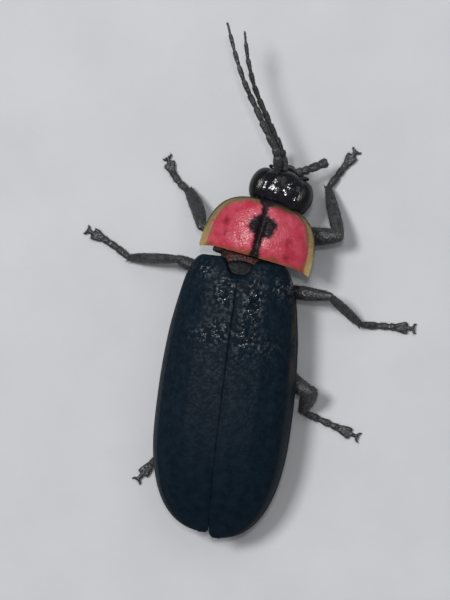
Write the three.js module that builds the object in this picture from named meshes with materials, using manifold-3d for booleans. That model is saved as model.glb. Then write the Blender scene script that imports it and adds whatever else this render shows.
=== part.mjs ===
// Firefly, a still life-size model that stands on its six feet.
// Millimetres, +Z up, floor at z = 0, +Y towards the head along the seam of the wing cases, +X to its right.

import * as THREE from 'three';
import { mergeVertices } from 'three/addons/utils/BufferGeometryUtils.js';
import Module from 'manifold-3d';

const wasm = await Module();
wasm.setup();

// Driving dimensions
const GAP = 0.26;              // air between two sub-parts that touch on the animal
const SKIN_T = 0.5;            // thickness of wing cases and shield
const MARGIN_Z = 2.2;          // height of the side rims of the wing cases
const CREST_Z = 4.15;          // highest line of the wing cases
const ELYTRON_LENGTH = { left: 13.3, right: 13.5 };
const ELYTRON_FRONT_Y = 1.5;   // front edge of the wing cases
const SHOULDER_W = 2.6;        // half width at the shoulders
const ELYTRON_W = 3.26;        // largest half width of the wing cases
const END_START = 7.5;         // distance from the front where the end begins to round
const END_POWER = 2.5;         // fullness of the round end
const SEAM_END = 0.7;          // length over which the seam corner of the end is rounded
const RIB_HEIGHT = 0.07;
const RIB_PLACES = [0.3, 0.52, 0.72];

const PRONOTUM = { x: 0.79, y: 2.86, yaw: 9, halfWidth: 2.76, hindY: -1.45, length: 3.0, edgeZ: 2.85, rise: 0.95 };
const HEAD = { x: 1.42, y: 4.92, z: 2.42, yaw: 13 };
const SKULL = { semi: [1.25, 1.06, 0.76] };
const EYE = { out: 0.96, semi: [0.62, 0.89, 0.7] };
const EYE_SEAM = 0.98;         // distance from the head's middle plane at which an eye begins

const THORAX = { y: -0.75, z: 2.02, semi: [1.9, 1.95, 0.76] };
const ABDOMEN = { frontY: -3.0, backY: -11.5, halfWidth: 2.45, z: 1.95, above: 0.8, below: 0.62 };
const SEGMENTS = 7;            // rings of the abdomen
const ORGAN_FROM = 5 / 7;      // share of the abdomen where the light organ begins
const ORGAN_TO = 6 / 7;        // share of the abdomen where the light organ ends

const LEG_R = { coxa: 0.42, tarsus: 0.25, claw: 0.1 };
const LOBE_SPREAD = 0.13;      // how far each lobe of a foot stands out from its middle
const CLAW_SPREAD = 0.24;

const BLACK = { color: 0x0b0d10, roughness: 0.45, metalness: 0.0 };
const GREY = { color: 0x1d2022, roughness: 0.6, metalness: 0.0 };
const ROSE = { color: 0xc02845, roughness: 0.35, metalness: 0.0 };
const CREAM = { color: 0xd9d2b0, roughness: 0.5, metalness: 0.0 };

// Small helpers
const UP = new THREE.Vector3(0, 0, 1);

function vec(x, y, z) {
  return new THREE.Vector3(x, y, z);
}

function lerp(a, b, t) {
  return a + (b - a) * t;
}

function signedPower(value, power) {
  return Math.sign(value) * Math.abs(value) ** power;
}

function merged(geometry) {
  geometry.deleteAttribute('normal');
  geometry.deleteAttribute('uv');
  return mergeVertices(geometry);
}

// A closed ball whose points are moved: place(t, angle) gives the point at share t from pole to pole.
function ball(around, along, place) {
  const geometry = new THREE.SphereGeometry(1, around, along);
  const points = geometry.attributes.position;
  for (let i = 0; i < points.count; i += 1) {
    const row = Math.floor(i / (around + 1));
    const pole = row === 0 || row === along;
    const column = pole ? 0 : (i % (around + 1)) % around;
    const p = place(row / along, (column / around) * 2 * Math.PI);
    points.setXYZ(i, p.x, p.y, p.z);
  }
  return merged(geometry);
}

// A closed block whose points are moved: place(u, v, w) takes shares of its width, length and depth.
function block(across, along, place) {
  const geometry = new THREE.BoxGeometry(1, 1, 1, across, along, 1);
  const points = geometry.attributes.position;
  for (let i = 0; i < points.count; i += 1) {
    const p = place(points.getX(i) + 0.5, points.getY(i) + 0.5, points.getZ(i) + 0.5);
    points.setXYZ(i, p.x, p.y, p.z);
  }
  return merged(geometry);
}

function ellipsoid(centre, semi, around = 16, along = 10, grow = 0) {
  return ball(around, along, (t, angle) => {
    const side = Math.sin(t * Math.PI);
    return vec(
      centre.x + (semi[0] + grow) * side * Math.cos(angle),
      centre.y + (semi[1] + grow) * Math.cos(t * Math.PI),
      centre.z - (semi[2] + grow) * side * Math.sin(angle),
    );
  });
}

// A rounded rod from one point to another, thicker or thinner at its end, and flattened by squash.
function rod(from, to, startR, endR, options = {}) {
  const { squash = 1, around = 7, along = 5, blunt = 0.55, belly = 0, lap = 0.6 } = options;
  const heading = to.clone().sub(from).normalize();
  const start = from.clone().addScaledVector(heading, -lap * startR);
  const axis = to.clone().addScaledVector(heading, lap * endR).sub(start);
  const side = axis.clone().cross(UP);
  if (side.length() < 1e-6) {
    side.set(1, 0, 0);
  }
  side.normalize();
  const top = side.clone().cross(axis).normalize();
  return ball(around, along, (t, angle) => {
    const share = (1 - Math.cos(t * Math.PI)) / 2;
    const swell = 1 + belly * Math.sin(share * Math.PI);
    const r = lerp(startR, endR, share) * swell * Math.sin(t * Math.PI) ** blunt;
    return start.clone()
      .addScaledVector(axis, share)
      .addScaledVector(side, r * Math.cos(angle))
      .addScaledVector(top, r * squash * Math.sin(angle));
  });
}

function solid(geometry) {
  const shape = new wasm.Manifold(new wasm.Mesh({
    numProp: 3,
    vertProperties: new Float32Array(geometry.attributes.position.array),
    triVerts: new Uint32Array(geometry.index.array),
  }));
  if (shape.volume() >= 0) {
    return shape;
  }
  const flipped = geometry.clone();
  const index = flipped.index.array;
  for (let i = 0; i < index.length; i += 3) {
    [index[i], index[i + 1]] = [index[i + 1], index[i]];
  }
  return solid(flipped);
}

function fuse(geometries) {
  return geometries.map(solid).reduce((whole, piece) => whole.add(piece));
}

// The largest closed surface of a solid, as a geometry.
function largest(shape) {
  const pieces = shape.decompose();
  pieces.sort((a, b) => b.volume() - a.volume());
  const mesh = pieces[0].getMesh();
  const geometry = new THREE.BufferGeometry();
  geometry.setAttribute('position', new THREE.BufferAttribute(new Float32Array(mesh.vertProperties), 3));
  geometry.setIndex(new THREE.BufferAttribute(new Uint32Array(mesh.triVerts), 1));
  return geometry;
}

const firefly = new THREE.Group();

function addPart(name, shape, finish) {
  const mesh = new THREE.Mesh(largest(shape), new THREE.MeshStandardMaterial(finish));
  mesh.name = name;
  firefly.add(mesh);
  return mesh;
}

// Turns a geometry clockwise about +Z, seen from above, and moves it to its place.
function turned(geometry, x, y, z, yaw) {
  geometry.rotateZ(THREE.MathUtils.degToRad(-yaw));
  geometry.translate(x, y, z);
  return geometry;
}

// Wing cases: domed shells with three low ribs, round shoulders and a round end
function elytronHalfWidth(distance, length) {
  const front = lerp(SHOULDER_W, ELYTRON_W, Math.sin(Math.min(1, distance / 7) * Math.PI / 2));
  if (distance <= END_START) {
    return front;
  }
  const share = Math.min(1, (distance - END_START) / (length - END_START));
  return front * (1 - share ** END_POWER) ** (1 / END_POWER);
}

function elytronHeight(distance, length) {
  const share = distance / length;
  const front = lerp(0.62, 1, Math.sin(Math.min(1, share / 0.3) * Math.PI / 2));
  const back = share > 0.55 ? (1 - ((share - 0.55) / 0.45) ** 2.4) ** 0.8 : 1;
  return (CREST_Z - MARGIN_Z) * front * back;
}

// Front edge: a notch for the scutellum by the seam and a round shoulder at the side.
function elytronFrontY(x) {
  const notch = 1.05 * Math.exp(-((x / 0.62) ** 4));
  const shoulder = x > 1.75 ? 1.0 * ((x - 1.75) / (SHOULDER_W - 1.75)) ** 2.4 : 0;
  return ELYTRON_FRONT_Y - notch - shoulder;
}

// Distance of the inner edge from the seam, which grows at the very end, so that each tip is round.
function seamX(distance, length) {
  const share = Math.max(0, (distance - length + SEAM_END) / SEAM_END);
  return GAP / 2 + 0.55 * share ** 3;
}

function ribs(u) {
  return RIB_PLACES.reduce((sum, place) => sum + Math.exp(-(((u - place) / 0.045) ** 2)), 0);
}

function elytron(sign, length) {
  return block(16, 20, (u, v, w) => {
    const angle = u * Math.PI / 2;
    const inset = w < 0.5 ? SKIN_T : 0;
    const distance = length * Math.sin(v * 0.985 * Math.PI / 2) ** 1.15;
    const halfWidth = elytronHalfWidth(distance, length) - inset;
    const height = Math.max(0.12, elytronHeight(distance, length) - inset);
    const inner = seamX(distance, length);
    const x = inner + Math.max(0.3, halfWidth - inner) * Math.sin(angle) ** 0.85;
    const rib = w < 0.5 ? 0 : RIB_HEIGHT * ribs(u) * Math.sin(v * Math.PI) ** 0.5;
    const y = lerp(elytronFrontY(x), ELYTRON_FRONT_Y - distance, Math.min(1, distance / 2.5));
    const z = MARGIN_Z + height * Math.max(0, Math.cos(angle)) ** 0.85 + rib;
    return vec(sign * x, Math.min(y, elytronFrontY(x) - distance * 0.2), z);
  });
}

// Shield of the first thorax ring: a D-shaped convex plate with a flat rim and a groove down its middle
function shieldOutline(share, grow) {
  const corner = 0.74;
  const hind = PRONOTUM.hindY - grow;
  if (share < corner) {
    const angle = (share / corner) * Math.PI;
    return vec(
      (PRONOTUM.halfWidth + grow) * signedPower(Math.cos(angle), 2 / 3),
      hind + (PRONOTUM.length + 2 * grow) * Math.sin(angle) ** (2 / 3),
      0,
    );
  }
  const x = lerp(-1, 1, (share - corner) / (1 - corner));
  return vec((PRONOTUM.halfWidth + grow) * x, hind + 0.22 * (1 - x ** 6), 0);
}

// Height of the shield: domed across, highest behind its middle, with a flat rim and a groove.
function shieldTop(x, y) {
  const front = Math.max(0, y - PRONOTUM.hindY) / PRONOTUM.length;
  const halfWidth = PRONOTUM.halfWidth * (1 - Math.min(0.97, front) ** 3) ** (1 / 3);
  const across = Math.max(0, 1 - Math.abs(x / (0.88 * halfWidth)) ** 2.1);
  const along = lerp(0.8, 1, Math.sin(Math.min(1, front / 0.35) * Math.PI / 2)) - 0.42 * front ** 2.5;
  const groove = 0.12 * Math.exp(-((x / 0.2) ** 2)) * Math.sin(Math.min(1, front) * Math.PI);
  return PRONOTUM.edgeZ + PRONOTUM.rise * along * across ** 0.75 - groove;
}

function shield(around, along, grow) {
  return turned(ball(around, along, (t, angle) => {
    const upper = t <= 0.5;
    const reach = 1 - Math.abs(1 - 2 * t) ** 1.15;
    const edge = shieldOutline(angle / (2 * Math.PI), grow);
    const x = edge.x * reach;
    const y = edge.y * reach;
    const top = shieldTop(x, y);
    return vec(x, y, upper ? top + grow : top - SKIN_T - grow);
  }), PRONOTUM.x, PRONOTUM.y, 0, PRONOTUM.yaw);
}

// Head: a broad round skull with a short muzzle and a neck, between two large round eyes
function placeHead(geometry) {
  return turned(geometry, HEAD.x, HEAD.y, HEAD.z, HEAD.yaw);
}

function headPiece(centre, semi) {
  return placeHead(ellipsoid(centre, semi, 20, 12));
}

// The slab of space between two distances from the head's middle plane.
function headSlab(fromX, toX) {
  const box = new THREE.BoxGeometry(toX - fromX, 6, 6);
  box.translate((fromX + toX) / 2, 0, 0);
  return solid(placeHead(merged(box)));
}

// An eye is the cap of a ball, and its flat inner face meets the skull.
function eye(sign) {
  const from = EYE_SEAM + GAP / 2;
  const cap = sign > 0 ? headSlab(from, 4) : headSlab(-4, -from);
  return solid(headPiece(vec(sign * EYE.out, 0, 0), EYE.semi)).intersect(cap);
}

function head() {
  const between = EYE_SEAM - GAP / 2;
  const skull = placeHead(pillow(vec(0, 0, 0), SKULL.semi, 28, 14, 0, 0.9));
  const pieces = [
    skull,
    headPiece(vec(0, 0.88, -0.36), [0.52, 0.46, 0.34]),
    headPiece(vec(0, -0.95, -0.2), [0.8, 0.8, 0.5]),
  ];
  const neighbours = [shield(40, 14, GAP), prothorax(GAP)];
  const whole = fuse(pieces).intersect(headSlab(-between, between));
  return neighbours.map(solid).reduce((shape, cut) => shape.subtract(cut), whole);
}

// Feelers: eleven joints, each widening to its tip
function feeler(path, count, startR, endR) {
  const curve = new THREE.CatmullRomCurve3(path);
  const pieces = [];
  for (let i = 0; i < count; i += 1) {
    const from = curve.getPointAt(Math.max(0, (i - 0.12) / count));
    const to = curve.getPointAt((i + 1) / count);
    const r = lerp(startR, endR, i / (count - 1));
    pieces.push(rod(from, to, r * 0.72, r * 1.1, { around: 7, along: 4, squash: 0.85 }));
  }
  return fuse(pieces);
}

const ANTENNA_LEFT = [
  vec(1.15, 5.98, 2.93), vec(1.11, 6.6, 3.32), vec(0.96, 6.92, 3.45), vec(0.46, 7.82, 3.75),
  vec(-0.07, 8.73, 3.95), vec(-0.61, 9.63, 4.1), vec(-1.3, 11.0, 4.2), vec(-1.95, 12.56, 4.2),
];
const ANTENNA_RIGHT = [
  vec(1.5, 5.98, 2.41), vec(1.32, 6.63, 2.5), vec(1.18, 6.96, 2.58), vec(0.69, 7.87, 2.72),
  vec(0.2, 8.78, 2.8), vec(-0.31, 9.69, 2.9), vec(-0.85, 11.08, 3.1), vec(-1.18, 12.32, 3.3),
];
const PALP_RIGHT = [vec(1.95, 5.93, 1.94), vec(2.2, 6.0, 1.9), vec(2.6, 6.2, 1.8), vec(3.36, 6.64, 1.6)];
const PALP_LEFT = [vec(1.06, 6.1, 1.9), vec(1.0, 6.4, 1.72), vec(0.93, 6.7, 1.6), vec(0.85, 7.0, 1.5)];

// Abdomen: a tapering body whose rings step in at each joint, parted by thin cuts at its light organ
function abdomenPoint(share, angle) {
  const taper = 1 - 0.55 * Math.max(0, (share - 0.45) / 0.55) ** 2.2;
  const cap = Math.min(1, Math.sin(share * Math.PI) * 4) ** 0.6;
  const ring = (share * SEGMENTS) % 1;
  const step = 1 - 0.04 * Math.exp(-((Math.min(ring, 1 - ring) / 0.14) ** 2));
  const rise = Math.sin(angle) > 0 ? ABDOMEN.above : ABDOMEN.below;
  return vec(
    ABDOMEN.halfWidth * taper * cap * step * signedPower(Math.cos(angle), 0.75),
    lerp(ABDOMEN.frontY, ABDOMEN.backY, share),
    ABDOMEN.z + rise * taper ** 0.5 * cap * step * signedPower(Math.sin(angle), 0.75),
  );
}

function abdomenSlab(fromShare, toShare) {
  const from = lerp(ABDOMEN.frontY, ABDOMEN.backY, fromShare);
  const to = lerp(ABDOMEN.frontY, ABDOMEN.backY, toShare);
  const box = new THREE.BoxGeometry(8, from - to, 8);
  box.translate(0, (from + to) / 2, ABDOMEN.z);
  return solid(merged(box));
}

function abdomen() {
  return solid(ball(20, 36, abdomenPoint));
}

// Legs: hip, thigh, shin, five foot joints with a two-lobed fourth, and two claws
function leg({ hip, root, knee, ankle, toe, thigh, shin, bow }) {
  const pieces = [
    rod(hip, root, LEG_R.coxa, LEG_R.coxa * 0.75, { around: 10 }),
    rod(root, knee, thigh * 0.8, thigh * 0.82, { around: 10, along: 8, blunt: 0.4, belly: 0.22 }),
    rod(knee, ankle, shin, shin * 0.92, { along: 6, blunt: 0.35 }),
  ];
  const heading = toe.clone().sub(ankle).setZ(0).normalize();
  const side = vec(heading.y, -heading.x, 0);
  const floorZ = LEG_R.tarsus * 0.8;
  const along = (share) => {
    const p = ankle.clone().lerp(toe, share);
    p.z = lerp(ankle.z, floorZ, Math.min(1, share / 0.3));
    return p.addScaledVector(side, bow * Math.sin(Math.min(1, share) * Math.PI));
  };
  const joints = [0, 0.3, 0.5, 0.66];
  joints.slice(0, 3).forEach((start, i) => {
    const from = along(Math.max(0, start - 0.04));
    pieces.push(rod(from, along(joints[i + 1] + 0.03), LEG_R.tarsus * 0.72, LEG_R.tarsus * 1.06));
  });
  for (const sign of [-1, 1]) {
    const lobe = along(0.84).addScaledVector(side, sign * LOBE_SPREAD);
    pieces.push(rod(along(0.62), lobe, LEG_R.tarsus * 0.7, LEG_R.tarsus, { along: 5 }));
    const tip = along(1.05).addScaledVector(side, sign * CLAW_SPREAD).setZ(0.1);
    pieces.push(rod(along(0.94), tip, LEG_R.claw * 1.4, LEG_R.claw * 0.7, { around: 6, along: 4 }));
  }
  pieces.push(rod(along(0.66), along(0.96), LEG_R.tarsus * 0.75, LEG_R.tarsus * 0.8));
  return fuse(pieces);
}

// Everything below the floor is cut away, which leaves small flats under the feet.
function floorBlock() {
  const box = new THREE.BoxGeometry(40, 40, 4);
  box.translate(0, 0, -2);
  return solid(merged(box));
}

const LEGS = {
  front_left: {
    hip: vec(0.3, 2.75, 1.6), root: vec(0.05, 2.85, 1.2), knee: vec(-2.29, 2.83, 1.7),
    ankle: vec(-3.26, 4.48, 0.42), toe: vec(-4.52, 5.98, 0), thigh: 0.4, shin: 0.35, bow: -0.2,
  },
  front_right: {
    hip: vec(1.15, 2.6, 1.6), root: vec(1.45, 2.75, 1.2), knee: vec(4.42, 3.17, 1.75),
    ankle: vec(3.5, 5.48, 0.42), toe: vec(4.6, 7.4, 0), thigh: 0.46, shin: 0.3, bow: 0,
  },
  middle_left: {
    hip: vec(-0.75, 0.35, 1.6), root: vec(-1.15, 0.45, 1.15), knee: vec(-3.18, 1.11, 1.8),
    ankle: vec(-5.76, 0.9, 0.42), toe: vec(-8.01, 1.98, 0), thigh: 0.37, shin: 0.26, bow: 0.08,
  },
  middle_right: {
    hip: vec(0.75, 0.2, 1.6), root: vec(1.15, 0.2, 1.15), knee: vec(4.35, 0.23, 1.95),
    ankle: vec(5.87, -0.92, 0.45), toe: vec(8.46, -0.81, 0), thigh: 0.37, shin: 0.26, bow: 0,
  },
  hind_left: {
    hip: vec(-0.8, -1.95, 1.6), root: vec(-1.3, -2.2, 1.05), knee: vec(-3.0, -4.75, 1.2),
    ankle: vec(-2.46, -7.3, 0.42), toe: vec(-4.03, -9.83, 0), thigh: 0.4, shin: 0.27, bow: -0.06,
  },
  hind_right: {
    hip: vec(0.8, -1.95, 1.6), root: vec(1.3, -2.2, 1.1), knee: vec(4.01, -4.43, 1.75),
    ankle: vec(3.59, -5.49, 0.42), toe: vec(6.39, -6.37, 0), thigh: 0.42, shin: 0.3, bow: 0,
  },
};

// A rounded block: an ellipsoid with fuller corners, the fuller the lower its power.
function pillow(centre, semi, around, along, grow, power = 0.7) {
  return ball(around, along, (t, angle) => {
    const side = Math.sin(t * Math.PI) ** (power * 0.86);
    return vec(
      centre.x + (semi[0] + grow) * side * signedPower(Math.cos(angle), power),
      centre.y + (semi[1] + grow) * signedPower(Math.cos(t * Math.PI), power * 1.14),
      centre.z - (semi[2] + grow) * side * signedPower(Math.sin(angle), power),
    );
  });
}

function thorax(grow) {
  return pillow(vec(0, THORAX.y, THORAX.z), THORAX.semi, 20, 12, grow);
}

function prothorax(grow) {
  const ring = pillow(vec(0, -0.2, 2.1), [1.6, 1.1, 0.82], 20, 12, grow);
  return turned(ring, PRONOTUM.x, PRONOTUM.y, 0, PRONOTUM.yaw);
}

function scutellum() {
  return ball(16, 8, (t, angle) => {
    const reach = Math.sin(t * Math.PI);
    const taper = 1 - 0.35 * Math.cos(angle + Math.PI / 2);
    return vec(
      0.42 * reach * Math.cos(angle) * taper,
      0.98 + 0.5 * reach * Math.sin(angle),
      3.02 + 0.26 * Math.cos(t * Math.PI),
    );
  });
}

addPart('head', head(), BLACK);
addPart('eye_left', eye(-1), BLACK);
addPart('eye_right', eye(1), BLACK);
addPart('antenna_left', feeler(ANTENNA_LEFT, 11, 0.26, 0.15), GREY);
addPart('antenna_right', feeler(ANTENNA_RIGHT, 11, 0.26, 0.15), GREY);
addPart('palp_left', feeler(PALP_LEFT, 4, 0.24, 0.24), GREY);
addPart('palp_right', feeler(PALP_RIGHT, 4, 0.25, 0.25), GREY);
addPart('pronotum', solid(shield(40, 14, 0)), ROSE);
addPart('prothorax', solid(prothorax(0)), BLACK);
addPart('scutellum', solid(scutellum()), BLACK);
addPart('thorax', solid(thorax(0)), BLACK);
addPart('elytron_left', solid(elytron(-1, ELYTRON_LENGTH.left)), BLACK);
addPart('elytron_right', solid(elytron(1, ELYTRON_LENGTH.right)), BLACK);
const ringGap = GAP / (ABDOMEN.frontY - ABDOMEN.backY);
addPart('abdomen', abdomen().intersect(abdomenSlab(-1, ORGAN_FROM)), BLACK);
addPart('light_organ', abdomen().intersect(abdomenSlab(ORGAN_FROM + ringGap, ORGAN_TO)), CREAM);
addPart('abdomen_tip', abdomen().intersect(abdomenSlab(ORGAN_TO + ringGap, 2)), BLACK);

const floor = floorBlock();
const clearOf = solid(thorax(GAP)).add(solid(prothorax(GAP)));
for (const [name, places] of Object.entries(LEGS)) {
  addPart(`leg_${name}`, leg(places).subtract(clearOf).subtract(floor), GREY);
}

// The frame's origin is the middle of the model's outline on the floor.
const bounds = new THREE.Box3().setFromObject(firefly);
const middle = bounds.getCenter(new THREE.Vector3());
firefly.position.set(-middle.x, -middle.y, 0);
firefly.updateMatrixWorld(true);

export default firefly;
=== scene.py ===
"""A life-size firefly, dressed over its frame: shells, skin, eyes, limbs and fine hair.

Shapes are worked out in millimetres in the animal's own frame: +Y runs to the head along the seam
of the wing cases, +X to its right, +Z up, and the zero is on the seam behind the scutellum.
Bench.finish_piece() turns them to metres and moves them to the row's frame.
"""
import logging
import math
import random
from dataclasses import dataclass, field
from enum import Enum
from typing import Callable

import bmesh
import bpy
from mathutils import Matrix, Vector, noise


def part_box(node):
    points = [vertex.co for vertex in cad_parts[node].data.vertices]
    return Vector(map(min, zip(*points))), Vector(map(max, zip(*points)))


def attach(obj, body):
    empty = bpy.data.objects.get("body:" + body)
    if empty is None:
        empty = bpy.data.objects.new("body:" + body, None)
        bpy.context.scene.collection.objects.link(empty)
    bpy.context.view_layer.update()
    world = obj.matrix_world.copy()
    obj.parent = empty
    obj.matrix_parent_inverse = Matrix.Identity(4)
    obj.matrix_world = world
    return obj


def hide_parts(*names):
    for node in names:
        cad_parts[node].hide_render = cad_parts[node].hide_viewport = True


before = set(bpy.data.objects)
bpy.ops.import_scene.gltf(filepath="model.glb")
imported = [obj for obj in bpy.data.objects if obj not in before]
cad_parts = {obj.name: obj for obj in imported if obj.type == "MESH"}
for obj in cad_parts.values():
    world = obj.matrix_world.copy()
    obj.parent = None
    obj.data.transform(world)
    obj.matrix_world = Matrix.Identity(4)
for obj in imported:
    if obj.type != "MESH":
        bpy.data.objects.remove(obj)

LOG = logging.getLogger("firefly")
BODY = "root"
MM = 0.001
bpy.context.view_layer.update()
SEED = 41

UP = Vector((0, 0, 1))
MARGIN_Z = 2.2  # height of the wing cases' side rims
CREST_Z = 4.15  # height of their crest
THORAX_Y = -0.75  # middle of the thorax node from the animal's zero

Triple = tuple[float, float, float]
Socket = bpy.types.NodeSocket


class Side(Enum):
    """The animal's left or right, as the sign of X."""

    LEFT = -1
    RIGHT = 1


def lerp(a: float, b: float, t: float) -> float:
    """The value a share t of the way from a to b."""
    return a + (b - a) * t


def power(value: float, exponent: float) -> float:
    """A signed power, which keeps the sign of the value."""
    return math.copysign(abs(value) ** exponent, value)


def bell(value: float, width: float) -> float:
    """A smooth bump of height 1 about zero."""
    return math.exp(-((value / width) ** 2))


def step(value: float, low: float, high: float) -> float:
    """A smooth step from 0 at low to 1 at high."""
    t = max(0.0, min(1.0, (value - low) / (high - low)))
    return t * t * (3.0 - 2.0 * t)


def level_side(axis: Vector) -> Vector:
    """The level direction to the right of an axis."""
    return axis.cross(UP).normalized()


def turned(place: Triple, yaw: float) -> Matrix:
    """The matrix that turns a form by yaw degrees to the animal's right and moves it to its place."""
    return Matrix.Translation(place) @ Matrix.Rotation(math.radians(-yaw), 4, "Z")


class Bench:
    """Turns shapes in the animal's millimetres into finished pieces in the row's frame."""

    def __init__(self) -> None:
        """Reads from the thorax node where the animal's zero lies in the row's frame."""
        low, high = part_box("thorax")
        centre = (low + high) / 2
        self.zero = Vector((centre.x, centre.y - THORAX_Y * MM, 0.0))

    def to_frame(self) -> Matrix:
        """The matrix from the animal's millimetres to the row's metres."""
        return Matrix.Translation(self.zero) @ Matrix.Scale(MM, 4)

    def mesh(self, name: str, shape: bmesh.types.BMesh) -> bpy.types.Object:
        """Makes an object, still in millimetres, from a bmesh.

        Args:
            name: the object's name.
            shape: the bmesh, which is freed.

        Returns:
            The linked object.
        """
        bmesh.ops.recalc_face_normals(shape, faces=shape.faces)
        data = bpy.data.meshes.new(name)
        shape.to_mesh(data)
        shape.free()
        piece = bpy.data.objects.new(name, data)
        bpy.context.scene.collection.objects.link(piece)
        return piece

    def melt(self, piece: bpy.types.Object, voxel: float, rounds: int) -> None:
        """Fuses the closed forms of a piece into one skin and smooths it.

        Args:
            piece: the object, in millimetres.
            voxel: the size of the remesh's cells, in millimetres.
            rounds: how many times the skin is smoothed.
        """
        remesh = piece.modifiers.new("melt", "REMESH")
        remesh.mode = "VOXEL"
        remesh.voxel_size = voxel
        smooth = piece.modifiers.new("smooth", "SMOOTH")
        smooth.factor = 0.5
        smooth.iterations = rounds
        graph = bpy.context.evaluated_depsgraph_get()
        data = bpy.data.meshes.new_from_object(piece.evaluated_get(graph))
        piece.modifiers.clear()
        old = piece.data
        piece.data = data
        bpy.data.meshes.remove(old)

    def finish_piece(self, piece: bpy.types.Object, material: bpy.types.Material,
                     nodes: tuple[str, ...] = ()) -> bpy.types.Object:
        """Moves a piece to the row's frame, dresses it and joins it to the body.

        Args:
            piece: the object, in the animal's millimetres.
            material: its finish.
            nodes: the frame's nodes that it stands for.

        Returns:
            The same object.
        """
        piece.data.transform(self.to_frame())
        piece.data.materials.clear()
        piece.data.materials.append(material)
        for face in piece.data.polygons:
            face.use_smooth = True
        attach(piece, BODY)
        if nodes:
            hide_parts(*nodes)
        LOG.info("%s: %d faces", piece.name, len(piece.data.polygons))
        return piece


def add_ball(shape: bmesh.types.BMesh, around: int, along: int,
             place: Callable[[float, float], Vector]) -> None:
    """Adds a closed ball whose points are moved by a function.

    Args:
        shape: the bmesh that takes it.
        around: points around each ring.
        along: rings from pole to pole.
        place: gives the point at a share from pole to pole and an angle about the poles.
    """
    made = bmesh.ops.create_uvsphere(shape, u_segments=around, v_segments=along, radius=1.0)
    for vert in made["verts"]:
        share = math.acos(max(-1.0, min(1.0, vert.co.z))) / math.pi
        vert.co = place(share, math.atan2(vert.co.y, vert.co.x))


def add_ellipsoid(shape: bmesh.types.BMesh, centre: Vector, semi: Triple,
                  around: int = 32, along: int = 20) -> None:
    """Adds an ellipsoid with its poles along Y.

    Args:
        shape: the bmesh that takes it.
        centre: its centre.
        semi: half its size along X, Y and Z.
        around: points around each ring.
        along: rings from pole to pole.
    """
    def place(share: float, angle: float) -> Vector:
        """The point on the ellipsoid.

        Args:
            share: how far from pole to pole, 0 to 1.
            angle: the angle about the poles.

        Returns:
            The point.
        """
        side = math.sin(share * math.pi)
        return centre + Vector((semi[0] * side * math.cos(angle), semi[1] * math.cos(share * math.pi),
                                semi[2] * side * math.sin(angle)))

    add_ball(shape, around, along, place)


@dataclass(frozen=True)
class Rod:
    """How a rounded rod is formed between two points."""

    squash: float = 1.0
    blunt: float = 0.5
    belly: float = 0.0
    lap: float = 0.5
    bow: Vector = field(default_factory=Vector)
    flutes: int = 0
    flute_depth: float = 0.06
    around: int = 20
    along: int = 16

    def add(self, shape: bmesh.types.BMesh, start: Vector, end: Vector, start_r: float,
            end_r: float) -> None:
        """Adds the rod, whose ends run past the two points by a share of their radius.

        Args:
            shape: the bmesh that takes it.
            start: the centre of its first end.
            end: the centre of its other end.
            start_r: radius at the start.
            end_r: radius at the end.
        """
        heading = (end - start).normalized()
        first = start - heading * self.lap * start_r
        axis = end + heading * self.lap * end_r - first
        side = level_side(axis)
        top = side.cross(axis).normalized()

        def place(share: float, angle: float) -> Vector:
            """The point on the rod.

            Args:
                share: how far from pole to pole, 0 to 1.
                angle: the angle about the poles.

            Returns:
                The point.
            """
            t = (1 - math.cos(share * math.pi)) / 2
            swell = 1 + self.belly * math.sin(t * math.pi)
            r = lerp(start_r, end_r, t) * swell * max(0.0, math.sin(share * math.pi)) ** self.blunt
            r *= 1 + (self.flute_depth * math.cos(angle * self.flutes) if self.flutes else 0.0)
            middle = first + axis * t + self.bow * math.sin(t * math.pi)
            return middle + side * r * math.cos(angle) + top * r * self.squash * math.sin(angle)

        add_ball(shape, self.around, self.along, place)


@dataclass(frozen=True)
class Unwrap:
    """Lays a skin flat along a path: how far along it a point lies, and at what angle round it."""

    path: tuple[Triple, ...]
    margin: float = 0.02

    def spot(self, place: Vector) -> tuple[float, float]:
        """The flat place of a point of the skin, both ways from 0 to 1.

        Args:
            place: the point, in millimetres.

        Returns:
            The two shares, inside the margins.
        """
        points = [Vector(p) for p in self.path]
        best = (math.inf, 0.0, 0.0)
        for i, (a, b) in enumerate(zip(points, points[1:])):
            axis = b - a
            share = max(0.0, min(1.0, (place - a).dot(axis) / axis.length_squared))
            away = place - (a + axis * share)
            if away.length < best[0]:
                side = level_side(axis)
                angle = math.atan2(away.dot(side.cross(axis).normalized()), away.dot(side))
                best = (away.length, (i + share) / (len(points) - 1), angle / (2 * math.pi) + 0.5)
        inner = 1 - 2 * self.margin
        return self.margin + inner * best[1], self.margin + inner * best[2]


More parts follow.
